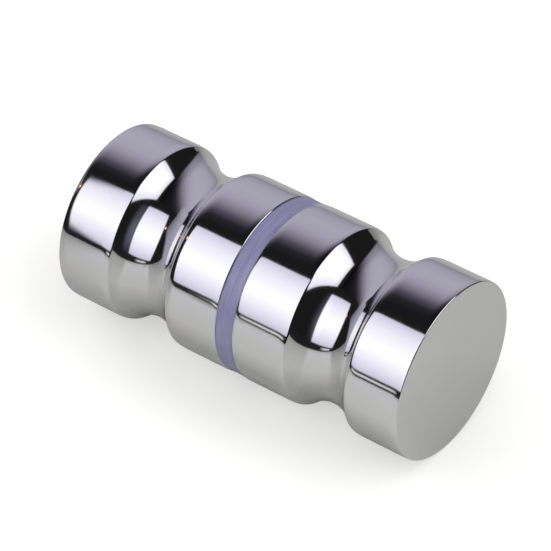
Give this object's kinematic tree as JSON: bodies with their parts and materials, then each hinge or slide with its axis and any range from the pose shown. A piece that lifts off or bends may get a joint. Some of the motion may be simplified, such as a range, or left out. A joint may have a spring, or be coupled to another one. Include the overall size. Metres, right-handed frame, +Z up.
{
  "type": "shower door knob pair",
  "caption": "Back-to-back pair of waisted, chrome-plated round pull knobs that clamp through a hole in a glass shower door, with clear gaskets between them.",
  "frame": {"origin": "on the turned axis at the door's mid-plane, where the two gaskets meet", "axes": "+Y along the turned axis from the outside knob to the inside knob, +Z up, as on a door"},
  "size_m": [0.03, 0.0652, 0.03],
  "materials": {
    "polished_chrome": "mirror-polished chrome plate over turned brass",
    "violet_clear_vinyl": "soft clear vinyl with a violet tint, satin",
    "zinc_plated_steel": "bright zinc-plated steel thread",
    "natural_sleeve_plastic": "natural, milky moulded plastic"
  },
  "bodies": {
    "root": {"outside_knob": "polished_chrome", "inside_knob": "polished_chrome", "outside_gasket": "violet_clear_vinyl", "inside_gasket": "violet_clear_vinyl", "joining_stud": "zinc_plated_steel", "glass_sleeve": "natural_sleeve_plastic"}
  },
  "joints": []
}
